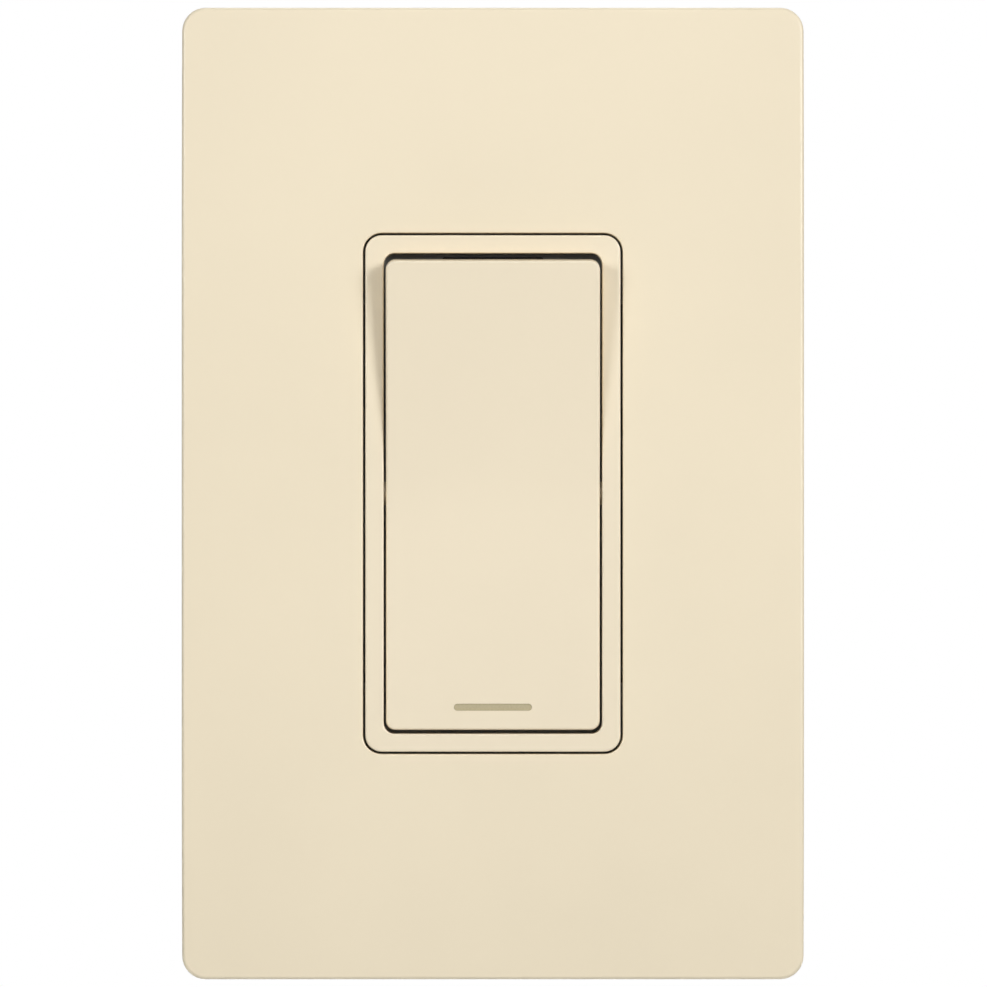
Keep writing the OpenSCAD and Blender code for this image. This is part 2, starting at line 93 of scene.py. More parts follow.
def colour(name, description, hex_colour):
    """A colour property with an sRGB hex default."""
    return FloatVectorProperty(name=name, description=description, subtype="COLOR", size=3,
                               min=0, max=1, default=linear(hex_colour))


# --- Settings --------------------------------------------------------------------------------


class SwitchPlateSizes(bpy.types.PropertyGroup):
    """Sizes of the wall plate and the bezel."""

    wall: length("Wall", "Wall thickness of the wall plate", 2.0)
    corner_r: length("Corner radius", "Corner radius of the wall plate", 3.0)
    edge_r: length("Edge radius", "Radius of the wall plate's front edge", 0.5)
    flat_half: length("Flat half height", "Half height of the flat stretch of the front", 27)
    end_drop: length("End drop", "How far the front falls back at the top and bottom", 2.0)
    opening_gap: length("Opening gap", "Gap around the bezel in the opening", 0.3)
    opening_r: length("Opening radius", "Corner radius of the opening", 2.4)
    lip_r: length("Lip radius", "Radius of the opening's front edge", 0.2)
    bezel_side: length("Bezel side", "Thickness of the bezel's long sides", 2.35)
    bezel_end: length("Bezel end", "Thickness of the bezel's ends", 2.3)
    bezel_inner_r: length("Bezel inner radius", "Corner radius inside the bezel", 1.4)
    bezel_edge_r: length("Bezel edge radius", "Radius of the bezel's front edges", 0.25)


class SwitchPaddleSizes(bpy.types.PropertyGroup):
    """Sizes of the paddle and the spring-loaded plunger in it."""

    trunnion_len: length("Trunnion length", "How far each trunnion stands out", 1.8)
    trunnion_r: length("Trunnion radius", "Radius of the trunnions", 1.5)
    lug_r: length("Lug radius", "Radius of the lug around each trunnion", 2.6)
    half_h: length("Half height", "Half height of the level paddle", 30.1)
    corner_r: length("Corner radius", "Corner radius seen from the front", 1.2)
    edge_r: length("Edge radius", "Radius of the front edges", 0.34)
    face_off: length("Face distance", "From the rocking axis to each half of the face", 2.65)
    valley: length("Valley", "Half width of the round valley between the two halves", 3.0)
    skin: length("Skin", "Thickness of the face", 2.0)
    skirt: length("Skirt", "Thickness of the long skirts", 1.6)
    end_wall: length("End wall", "Thickness of the end walls", 2.0)
    skirt_rear: length("Skirt depth", "How far the skirts reach behind the axis", 0.41)
    boss_r: length("Boss radius", "Radius of the plunger boss", 4.25)
    boss_end: length("Boss length", "How far the boss reaches behind the axis", 13.42)
    bore_r: length("Bore radius", "Radius of the plunger bore", 2.55)
    bore_start: length("Bore start", "How far the bore reaches in front of the axis", 0.5)
    web: length("Web", "Thickness of the web across the paddle", 1.4)
    mark_w: length("Mark width", "Length of the engraved bar near the lower end", 10)
    mark_h: length("Mark height", "Height of the engraved bar", 0.9)
    mark_d: length("Mark depth", "Depth of the engraved bar", 0.12)
    mark_z: length("Mark place", "How far the bar lies below the middle", 27.4)


class SwitchMetalSizes(bpy.types.PropertyGroup):
    """Sizes of the screws and the spring, and how far the plunger is pressed in."""

    pitch: length("Thread pitch", "Pitch of the screw threads", 0.794)
    slot_w: length("Slot width", "Width of the driver slots", 0.9)
    box_head_r: length("Box screw head", "Head radius of the box screws", 3.45)
    box_head_h: length("Box screw head height", "Head height of the box screws", 2.0)
    box_r: length("Box screw radius", "Thread radius of the box screws", 1.75)
    plate_head_r: length("Sub-plate screw head", "Head radius of the sub-plate screws", 3.0)
    plate_head_h: length("Sub-plate screw head height", "Head height of those screws", 0.9)
    plate_r: length("Sub-plate screw radius", "Thread radius of the sub-plate screws", 1.72)
    terminal_head_r: length("Terminal head", "Head radius of the terminal screws", 4.25)
    terminal_head_h: length("Terminal head height", "Head height of those screws", 2.4)
    terminal_r: length("Terminal radius", "Thread radius of the terminal screws", 2.0)
    ground_head_r: length("Ground head", "Corner radius of the ground screw's hexagon", 4.6)
    ground_head_h: length("Ground head height", "Height of that hexagon", 2.2)
    ground_r: length("Ground radius", "Thread radius of the ground screw", 2.0)
    coil_r: length("Coil radius", "Radius to the middle of the spring's wire", 1.85)
    wire_r: length("Wire radius", "Radius of the spring's wire", 0.2)
    turns: IntProperty(name="Turns", description="Turns of the plunger spring", default=7, min=2)
    plunger_travel: length("Plunger travel", "How far the plunger is pressed in", 1.5)


class SwitchColours(bpy.types.PropertyGroup):
    """Colours of the finishes."""

    plate: colour("Wall plate", "Light almond polycarbonate", "F0E3C8")
    device: colour("Device", "Light almond ABS of the bezel and the paddle", "F1E4CA")
    # Painted shade: the tan stands in for the shade inside the engraved bar.
    mark: colour("Mark", "Painted shade: tan in the engraved bar", "B9AD8C")
    zinc: colour("Zinc", "Zinc plate on steel", "A9ACAF")
    green: colour("Green zinc", "Green dyed zinc plate", "2F7A45")
    brass: colour("Brass", "Rolled and turned brass", "D8B365")
    silver: colour("Silver", "Silver alloy contacts", "DADBD8")
    phenolic: colour("Phenolic", "Dark moulded body", "202022")
    fibre: colour("Fibre", "Vulcanised fibre washers", "C79F6C")
    rubber: colour("Rubber", "Soft bumpers", "37383A")
    acetal: colour("Acetal", "Natural acetal plunger", "EFEFE9")
    floor: colour("Floor", "Pale studio floor", "F2F2F0")


class SwitchStage(bpy.types.PropertyGroup):
    """Camera, floor and lights."""

    distance: length("Camera distance", "From the camera to the wall plate's front", 1200)
    field: length("Field", "Width that the camera sees at the wall plate's front", 126.53)
    floor_z: length("Floor depth", "How far the floor lies below the middle", 200)
    world: FloatProperty(name="World", description="Strength of the even white light around",
                         default=0.091, min=0)
    key: FloatProperty(name="Key", description="Power of the soft light at the upper right",
                       default=0.62, min=0, subtype="POWER", unit="POWER")
    fill: FloatProperty(name="Fill", description="Power of the soft light at the upper left",
                        default=0.343, min=0, subtype="POWER", unit="POWER")
    upper: FloatProperty(name="Upper", description="Power of the small soft light above",
                         default=0.028, min=0, subtype="POWER", unit="POWER")
    back: FloatProperty(name="Back", description="Power of each soft light behind the switch",
                        default=1.6, min=0, subtype="POWER", unit="POWER")
    top: FloatProperty(name="Top", description="Power of the soft light above the floor behind",
                       default=4.0, min=0, subtype="POWER", unit="POWER")


def settings(group):
    """One of the scene's groups of settings."""
    return getattr(bpy.context.scene, "switch_" + group)


# --- Working in object and edit mode -----------------------------------------------------------


def take(ob, *others):
    """Makes objects the only selected ones, the first of them active."""
    bpy.ops.object.select_all(action="DESELECT")
    for each in (ob, *others):
        each.select_set(True)
    bpy.context.view_layer.objects.active = ob


def edit(ob, kind, test):
    """Opens a mesh for editing with only the parts of one kind selected that pass the test."""
    take(ob)
    bpy.ops.object.mode_set(mode="EDIT")
    bpy.ops.mesh.select_mode(type=kind)
    bpy.ops.mesh.select_all(action="DESELECT")
    bpy.ops.object.mode_set(mode="OBJECT")
    mesh = ob.data
    if kind == "EDGE":
        for edge in mesh.edges:
            edge.select = test(*(mesh.vertices[i].co for i in edge.vertices))
    else:
        for part in mesh.vertices if kind == "VERT" else mesh.polygons:
            part.select = test(part)
    bpy.ops.object.mode_set(mode="EDIT")


def close():
    """Leaves edit mode."""
    bpy.ops.object.mode_set(mode="OBJECT")


def settle(name, scale=(1, 1, 1)):
    """Names the newest primitive, and puts its size, turn and place into its mesh."""
    ob = bpy.context.object
    ob.name = name
    ob.scale = scale
    bpy.ops.object.transform_apply(location=True, rotation=True, scale=True)
    return ob


def aim(ob, place, axis):
    """Turns a piece drawn along +Z to point along an axis, moves it and applies both."""
    take(ob)
    ob.rotation_euler = axis.to_track_quat("Z", "Y").to_euler()
    ob.location = place
    bpy.ops.object.transform_apply(location=True, rotation=True, scale=True)
    return ob


def tipped(ob, angle, place):
    """Turns a piece drawn about the origin by an angle about X, then moves it to its place."""
    take(ob)
    ob.rotation_euler = (angle, 0, 0)
    ob.location = place
    bpy.ops.object.transform_apply(location=True, rotation=True, scale=True)
    return ob


def sideways(head, seat, side):
    """Points a screw head along X, to the right for side 1 and to the left for side -1."""
    take(head)
    head.rotation_euler = (0, side * math.pi / 2, 0)
    head.location = seat
    bpy.ops.object.transform_apply(location=True, rotation=True, scale=True)


def modified(ob, kind, **values):
    """Adds a modifier with its values and applies it."""
    take(ob)
    modifier = ob.modifiers.new(kind.title(), kind)
    for name, value in values.items():
        setattr(modifier, name, value)
    bpy.ops.object.modifier_apply(modifier=modifier.name)
    return ob


def combine(ob, operation, *tools):
    """Unites, cuts or intersects a piece with tool shapes, which are then removed."""
    for tool in tools:
        modified(ob, "BOOLEAN", object=tool, operation=operation, solver="EXACT",
                 material_mode="TRANSFER")
        bpy.data.objects.remove(tool)
    return ob


def merged(ob, *others):
    """Joins closed shells into one piece."""
    take(ob, *others)
    bpy.ops.object.join()
    return ob


def outward(ob):
    """Merges doubles and points every face outwards."""
    edit(ob, "FACE", lambda face: True)
    bpy.ops.mesh.remove_doubles(threshold=0.0005 * MM)
    bpy.ops.mesh.normals_make_consistent(inside=False)
    close()
    return ob


# --- Shapes ----------------------------------------------------------------------------------


def block(low, high, name="Block"):
    """A box from its low to its high corner."""
    low, high = Vector(low), Vector(high)
    bpy.ops.mesh.primitive_cube_add(size=1, location=(low + high) / 2)
    return settle(name, high - low)


def rod(place, axis, radius, depth, sides=48, name="Rod"):
    """A cylinder from a place along an axis."""
    bpy.ops.mesh.primitive_cylinder_add(vertices=sides, radius=radius, depth=depth,
                                        location=(0, 0, depth / 2))
    return aim(settle(name), place, axis)


def bevelled(ob, test, radius, steps=3):
    """Rounds the edges whose two ends pass the test."""
    edit(ob, "EDGE", test)
    bpy.ops.mesh.bevel(offset=radius, offset_type="OFFSET", segments=steps, profile=0.5,
                       affect="EDGES")
    close()
    return ob


def along_y(a, b):
    """True for an edge that runs from front to back."""
    return abs(a.y - b.y) > 0.9 * (a - b).length


def slab(w, h, r, y0, y1, x=0.0, z=0.0, steps=8, name="Slab"):
    """A plate in the X-Z plane with round corners, from y0 back to y1."""
    ob = block((x - w / 2, y0, z - h / 2), (x + w / 2, y1, z + h / 2), name)
    return bevelled(ob, along_y, r, steps)


def inside(p, w, h, r):
    """How far a point lies inside a rounded rectangle's outline."""
    dx, dz = abs(p.x) - (w / 2 - r), abs(p.z) - (h / 2 - r)
    return r - math.hypot(max(dx, 0), max(dz, 0)) - min(max(dx, dz), 0)


def hoop(w, h, r, y, steps, cuts):
    """A rounded rectangular hoop of edges."""
    bpy.ops.mesh.primitive_plane_add(size=1, location=(0, y, 0), rotation=(math.pi / 2, 0, 0))
    ob = settle("Hoop", (w, h, 1))
    edit(ob, "VERT", lambda vert: True)
    bpy.ops.mesh.bevel(offset=r, segments=steps, affect="VERTICES")
    bpy.ops.mesh.delete(type="ONLY_FACE")
    close()
    edit(ob, "EDGE", lambda a, b: (a - b).length > min(w, h) / 2)
    bpy.ops.mesh.subdivide(number_cuts=cuts)
    close()
    return ob


def lofted(name, hoops, steps=8, cuts=11):
    """Bridges hoops in turn, and the last to the first, into a closed frame-shaped piece.

    They are bridged 1 mm apart, so that nested hoops in one plane can't be joined the wrong way
    round, and then set to their own depths.
    """
    body = hoop(*hoops[0][:3], 0, steps, cuts)
    body.name = name
    size = len(body.data.vertices)

    def bridge(first, second):
        spans = (range(first * size, first * size + size),
                 range(second * size, second * size + size))
        edit(body, "VERT", lambda vert: any(vert.index in span for span in spans))
        bpy.ops.mesh.bridge_edge_loops()
        close()

    for number, values in enumerate(hoops[1:], 1):
        merged(body, hoop(*values[:3], number * MM, steps, cuts))
        bridge(number - 1, number)
    bridge(len(hoops) - 1, 0)
    for vert in body.data.vertices:
        vert.co.y = hoops[vert.index // size][3]
    return outward(body)


def arc(steps):
    """Sine and 1 - cosine of each step of a quarter turn, from the first step to the last."""
    turns = [math.pi / 2 * k / steps for k in range(steps + 1)]
    return [(math.sin(a), 1 - math.cos(a)) for a in turns]


def turned(name, profile, steps=48):
    """A lathe shape about +Z: a disc extruded and scaled through (radius, height) pairs."""
    radius, height = profile[0]
    bpy.ops.mesh.primitive_circle_add(vertices=steps, radius=radius, fill_type="NGON",
                                      location=(0, 0, height))
    ob = settle(name)
    edit(ob, "FACE", lambda face: True)
    for r, z in profile[1:]:
        bpy.ops.mesh.extrude_region_move(TRANSFORM_OT_translate={"value": (0, 0, z - height)})
        bpy.ops.transform.resize(value=(r / radius, r / radius, 1), center_override=(0, 0, z))
        radius, height = r, z
    close()
    return outward(ob)


def domed(name, r, h, edge, dome=0.0, neck=None):
    """A screw or rivet head: its seat at height 0, its rounded top at h."""
    profile = [(neck or r, 0.0), (r, 0.0)] if neck else [(r, 0.0)]
    rim = h - dome
    profile += [(r - edge * c, rim - edge + edge * s) for s, c in arc(4)]
    if dome:
        inner = r - edge
        profile += [(inner * (1 - k / 6), rim + dome * (1 - (1 - k / 6) ** 2)) for k in range(1, 6)]
        profile.append((inner * 0.02, h))
    return turned(name, profile)


def thread(name, core, crest, pitch, run, start):
    """A helical tooth about +Z, wound from start over its run, as a closed shell."""
    root = core * 0.9
    bpy.ops.mesh.primitive_plane_add(size=1, location=((root + crest) / 2, 0, start + pitch / 2),
                                     rotation=(math.pi / 2, 0, 0))
    ob = settle(name, (crest - root, pitch * 0.96, 1))
    middle = (root + crest) / 2
    edit(ob, "VERT", lambda vert: vert.co.x > middle)
    bpy.ops.transform.resize(value=(1, 1, 0.14), center_override=(crest, 0, start + pitch / 2))
    close()
    edit(ob, "FACE", lambda face: True)
    bpy.ops.mesh.delete(type="ONLY_FACE")
    close()
    turns = max(1, int((run - pitch) / pitch))
    modified(ob, "SCREW", axis="Z", angle=2 * math.pi, screw_offset=pitch, iterations=turns,
             steps=24, render_steps=24, use_merge_vertices=False)
    edit(ob, "FACE", lambda face: True)
    bpy.ops.mesh.select_all(action="SELECT")
    bpy.ops.mesh.fill_holes(sides=6)
    close()
    return outward(ob)


def threaded(name, r, pitch, start, end):
    """A threaded shank about +Z with a bevelled tip."""
    core = r - 0.55 * pitch
    shank = turned(name, [(core, start), (core, end - 0.5 * MM), (core - 0.45 * MM, end)], 40)
    return merged(shank, thread(name + "Tooth", core, r, pitch, end - start - 0.6 * MM, start))


def softened(node, name, width, rim=None, rim_r=0.0):
    """A CAD node's shape with its triangles merged into flat faces and its edges rounded.

    Edges whose ends both pass the rim test get their own larger radius first.
    """
    ob = bpy.data.objects.new(name, frame["nodes"][node].data.copy())
    bpy.context.scene.collection.objects.link(ob)
    if "custom_normal" in ob.data.attributes:
        ob.data.attributes.remove(ob.data.attributes["custom_normal"])
    edit(ob, "FACE", lambda face: True)
    bpy.ops.mesh.remove_doubles(threshold=0.0008 * MM)
    bpy.ops.mesh.dissolve_limited(angle_limit=math.radians(1))
    bpy.ops.mesh.normals_make_consistent(inside=False)
    close()
    if rim:
        bevelled(ob, lambda p, q: rim(p) and rim(q), rim_r, 4)
    return modified(ob, "BEVEL", width=width, segments=3, limit_method="ANGLE",
                    angle_limit=math.radians(35), use_clamp_overlap=True)


def finish_piece(ob, node, material, smooth=40):
    """Smooths a piece, gives it its material, and lets it stand for its CAD node."""
    if material.name not in [m.name for m in ob.data.materials if m]:
        ob.data.materials.clear()
        ob.data.materials.append(material)
    take(ob)
    bpy.ops.object.shade_smooth_by_angle(angle=math.radians(smooth))
    modified(ob, "WEIGHTED_NORMAL", weight=50, keep_sharp=True)
    body = next(name for name, members in BODIES.items() if node in members)
    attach(ob, body)
    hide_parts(node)
    return ob


# --- Materials -------------------------------------------------------------------------------


def add(tree, kind, values=None, inputs=None):
    """Adds a node, sets its properties, and sets or links its inputs."""
    node = tree.nodes.new(kind)
    for name, value in (values or {}).items():
        setattr(node, name, value)
    for name, value in (inputs or {}).items():
        if isinstance(value, bpy.types.NodeSocket):
            tree.links.new(value, node.inputs[name])
        else:
            node.inputs[name].default_value = value
    return node


def surface(name, **constants):
    """A new material with its shader's constants set: the material, its tree and the shader."""
    material = bpy.data.materials.get(name)
    if material:
        return material, None, None
    material = bpy.data.materials.new(name)
    material.use_nodes = True
    tree = material.node_tree
    shader = tree.nodes["Principled BSDF"]
    for socket, value in constants.items():
        shader.inputs[socket.replace("_", " ")].default_value = value
    return material, tree, shader


def place(tree, stretch=(1, 1, 1), centre=(0, 0, 0)):
    """The piece's own coordinates, centred and stretched."""
    coordinates = add(tree, "ShaderNodeTexCoord")
    mapping = add(tree, "ShaderNodeMapping", {"vector_type": "POINT"},
                  {"Vector": coordinates.outputs["Object"], "Scale": stretch,
                   "Location": tuple(-c * s for c, s in zip(centre, stretch))})
    return mapping.outputs["Vector"]


def noise(tree, vector, size, detail=3.0, roughness=0.55):
    """Noise whose features are about the given size across, in metres."""
    return add(tree, "ShaderNodeTexNoise", None,
               {"Vector": vector, "Scale": 1 / size, "Detail": detail,
                "Roughness": roughness}).outputs["Fac"]


def graded(tree, value, stops):
    """A colour ramp over a value, with (place, linear colour) stops."""
    ramp = add(tree, "ShaderNodeValToRGB", None, {"Fac": value})
    elements = ramp.color_ramp.elements
    while len(elements) < len(stops):
        elements.new(0.5)
    for element, (at, rgb) in zip(elements, stops):
        element.position = at
        element.color = (*rgb, 1)
    return ramp.outputs["Color"]


def spread(tree, value, low, high):
    """Maps a noise value onto a range."""
    return add(tree, "ShaderNodeMapRange", None,
               {"Value": value, "From Min": 0.3, "From Max": 0.7,
                "To Min": low, "To Max": high}).outputs["Result"]


def tinted(rgb, factor):
    """A colour made lighter or darker."""
    return tuple(min(1.0, c * factor) for c in rgb)


def relief(tree, shader, height, depth, strength=1.0):
    """Bump from a height value, with its real depth in metres."""
    bump = add(tree, "ShaderNodeBump", None,
               {"Height": height, "Distance": depth, "Strength": strength})
    tree.links.new(bump.outputs["Normal"], shader.inputs["Normal"])


def almond_moulding(name, rgb, roughness):
    """Light almond thermoplastic from a fine satin mould."""
    material, tree, shader = surface(name, IOR=1.57, Specular_IOR_Level=0.5)
    if tree is None:
        return material
    vector = place(tree)
    # Slow flow of the melt: cream that is nowhere quite the same.
    flow = noise(tree, vector, 28 * MM, 2.0)
    tree.links.new(graded(tree, flow, [(0.3, tinted(rgb, 0.985)), (0.7, tinted(rgb, 1.01))]),
                   shader.inputs["Base Color"])
    # Spark-eroded mould grain, 0.35 mm across, so that it just shows as a satin break-up.
    grain = noise(tree, vector, 0.35 * MM, 3.0, 0.6)
    tree.links.new(spread(tree, grain, roughness - 0.03, roughness + 0.04),
                   shader.inputs["Roughness"])
    relief(tree, shader, grain, 0.0012 * MM, 0.6)
    return material


def plate_polycarbonate():
    """Moulded polycarbonate of the wall plate: an even satin that keeps a soft sheen."""
    return almond_moulding("Polycarbonate moulded satin almond", settings("colours").plate, 0.38)


def device_abs():
    """Moulded ABS of the bezel, paddle and sub-plate: a touch closer and smoother than the plate."""
    return almond_moulding("ABS moulded satin almond", settings("colours").device, 0.32)


def engraving_painted_shade():
    """Painted shade in the engraved bar: a flat, matt tan that stands in for the shade inside the recess."""
    material, tree, shader = surface("Engraved bar painted shade tan", IOR=1.5)
    if tree is None:
        return material
    rgb = settings("colours").mark
    speck = noise(tree, place(tree), 0.25 * MM, 2.0)
    tree.links.new(graded(tree, speck, [(0.3, tinted(rgb, 0.94)), (0.7, tinted(rgb, 1.05))]),
                   shader.inputs["Base Color"])
    tree.links.new(spread(tree, speck, 0.55, 0.68), shader.inputs["Roughness"])
    return material


def painted_steel():
    """Almond enamel baked on a steel screw: glossy, with the orange peel of sprayed paint."""
    material, tree, shader = surface("Enamel sprayed on steel almond", IOR=1.5)
    if tree is None:
        return material
    rgb = settings("colours").device
    peel = noise(tree, place(tree), 0.5 * MM, 2.0)
    tree.links.new(graded(tree, peel, [(0.3, tinted(rgb, 0.93)), (0.7, tinted(rgb, 1.0))]),
                   shader.inputs["Base Color"])
    tree.links.new(spread(tree, peel, 0.22, 0.32), shader.inputs["Roughness"])
    relief(tree, shader, peel, 0.01 * MM)
    return material


def plated(name, rgb, stretch, roughness, centre=(0, 0, 0)):
    """Metal with drawn or rolled lines along one way and cloudy plating over them."""
    material, tree, shader = surface(name, Metallic=1.0)
    if tree is None:
        return material
    cloud = noise(tree, place(tree), 3.5 * MM, 4.0)
    lines = noise(tree, place(tree, stretch, centre), 0.3 * MM, 3.0, 0.65)
    tree.links.new(graded(tree, cloud, [(0.3, tinted(rgb, 0.82)), (0.5, rgb),
                                        (0.7, tinted(rgb, 1.08))]),
                   shader.inputs["Base Color"])
    both = add(tree, "ShaderNodeMath", {"operation": "MULTIPLY_ADD"},
               {0: cloud, 1: 0.4, 2: lines}).outputs[0]
    tree.links.new(add(tree, "ShaderNodeMapRange", None,
                       {"Value": both, "From Min": 0.45, "From Max": 0.95,
                        "To Min": roughness - 0.1, "To Max": roughness + 0.12}).outputs["Result"],
                   shader.inputs["Roughness"])
    relief(tree, shader, lines, 0.004 * MM, 0.7)
    return material


def zinc_sheet():
    """Zinc-plated steel strip: grey, cloudy, with faint rolling lines up and down."""
    return plated("Steel strip zinc plated", settings("colours").zinc, (1, 1, 0.06), 0.4)


def zinc_turned():
    """Zinc-plated cold-headed steel of the screws and rivets: brighter, with fine scratches."""
    return plated("Steel headed zinc plated", settings("colours").zinc, (1, 0.5, 1), 0.3)


def green_zinc():
    """Green dyed zinc plate on the ground screw: a clear green over bright metal."""
    return plated("Steel zinc plated green dyed", settings("colours").green, (0.4, 1, 1), 0.34)


def rolled_brass():
    """Rolled and pressed brass strip: warm, with rolling lines and a first brown breath."""
    return plated("Brass strip rolled", settings("colours").brass, (1, 1, 0.08), 0.3)


def turned_brass():
    """Turned brass of the terminal screws: bright, with close tool marks round the axis."""
    return plated("Brass turned", settings("colours").brass, (0.08, 1, 1), 0.24)


def silver_alloy():
    """Pressed silver alloy of the contacts: white metal with a soft burnish."""
    return plated("Silver alloy pressed", settings("colours").silver, (1, 1, 1), 0.26)


def spring_wire():
    """Hard-drawn spring steel: dark bright wire with lengthwise die lines."""
    return plated("Spring steel hard drawn", linear("8E9196"), (1, 0.3, 1), 0.24)


def phenolic_moulding():
    """Compression-moulded phenolic: near-black, with filler specks and slow flow marks."""
    material, tree, shader = surface("Phenolic moulded", IOR=1.6)
    if tree is None:
        return material
    rgb = settings("colours").phenolic
    vector = place(tree)
    flow = noise(tree, vector, 6 * MM, 4.0)
    speck = noise(tree, vector, 0.4 * MM, 2.0, 0.7)
    both = add(tree, "ShaderNodeMath", {"operation": "MULTIPLY_ADD"},
               {0: speck, 1: 0.5, 2: flow}).outputs[0]
    tree.links.new(graded(tree, both, [(0.55, tinted(rgb, 0.75)), (0.75, rgb),
                                       (0.95, tinted(rgb, 1.9))]),
                   shader.inputs["Base Color"])
    tree.links.new(spread(tree, flow, 0.36, 0.52), shader.inputs["Roughness"])
    relief(tree, shader, speck, 0.006 * MM, 0.8)
    return material


def fibre_board():
    """Punched vulcanised fibre: matt tan with short matted fibres."""
    material, tree, shader = surface("Vulcanised fibre punched", IOR=1.5)
    if tree is None:
        return material
    rgb = settings("colours").fibre
    mat = noise(tree, place(tree, (1, 1, 0.25)), 0.3 * MM, 5.0, 0.7)
    tree.links.new(graded(tree, mat, [(0.3, tinted(rgb, 0.72)), (0.5, rgb),
                                      (0.7, tinted(rgb, 1.15))]),
                   shader.inputs["Base Color"])
    tree.links.new(spread(tree, mat, 0.7, 0.85), shader.inputs["Roughness"])
    relief(tree, shader, mat, 0.02 * MM)
    return material


def bumper_rubber():
    """Moulded rubber of the bumpers: dark and dull, with a dusty bloom."""
    material, tree, shader = surface("Rubber moulded", IOR=1.52)
    if tree is None:
        return material
    rgb = settings("colours").rubber
    bloom = noise(tree, place(tree), 1.2 * MM, 4.0)
    tree.links.new(graded(tree, bloom, [(0.3, tinted(rgb, 0.8)), (0.7, tinted(rgb, 1.35))]),
                   shader.inputs["Base Color"])
    tree.links.new(spread(tree, bloom, 0.68, 0.86), shader.inputs["Roughness"])
    relief(tree, shader, bloom, 0.01 * MM)
    return material


def acetal_turned():
    """Moulded natural acetal of the plunger: waxy white that lets a little light in."""
    material, tree, shader = surface("Acetal moulded natural", IOR=1.48,
                                     Subsurface_Weight=0.15, Subsurface_Scale=0.001)
    if tree is None:
        return material
    rgb = settings("colours").acetal
    haze = noise(tree, place(tree), 1.5 * MM, 3.0)
    tree.links.new(graded(tree, haze, [(0.3, tinted(rgb, 0.95)), (0.7, rgb)]),
                   shader.inputs["Base Color"])
    tree.links.new(spread(tree, haze, 0.28, 0.4), shader.inputs["Roughness"])
    relief(tree, shader, haze, 0.004 * MM)
    return material


def floor_paper():
    """Matt seamless paper under the switch: pale, with the faint tooth of the sheet."""
    material, tree, shader = surface("Seamless paper matt", IOR=1.45)
    if tree is None:
        return material
    rgb = settings("colours").floor
    tooth = noise(tree, place(tree), 6 * MM, 4.0)
    tree.links.new(graded(tree, tooth, [(0.3, tinted(rgb, 0.985)), (0.7, rgb)]),
                   shader.inputs["Base Color"])
    tree.links.new(spread(tree, tooth, 0.85, 0.95), shader.inputs["Roughness"])
    # A glow that only the camera sees keeps the paper pale where the lights don't reach.
    ray = add(tree, "ShaderNodeLightPath")
    glow = add(tree, "ShaderNodeMapRange", None,
               {"Value": ray.outputs["Is Camera Ray"], "To Max": 0.75})
    shader.inputs["Emission Color"].default_value = (*rgb, 1)
    tree.links.new(glow.outputs["Result"], shader.inputs["Emission Strength"])
    return material


# --- Operators -------------------------------------------------------------------------------


def fall(z, flat_half, end_drop, half):
    """How far the wall plate's front falls back at a height."""
    run = half - flat_half
    radius = (run ** 2 + end_drop ** 2) / (2 * end_drop)
    past = max(0.0, abs(z) - flat_half)
    return radius - math.sqrt(radius ** 2 - past ** 2)


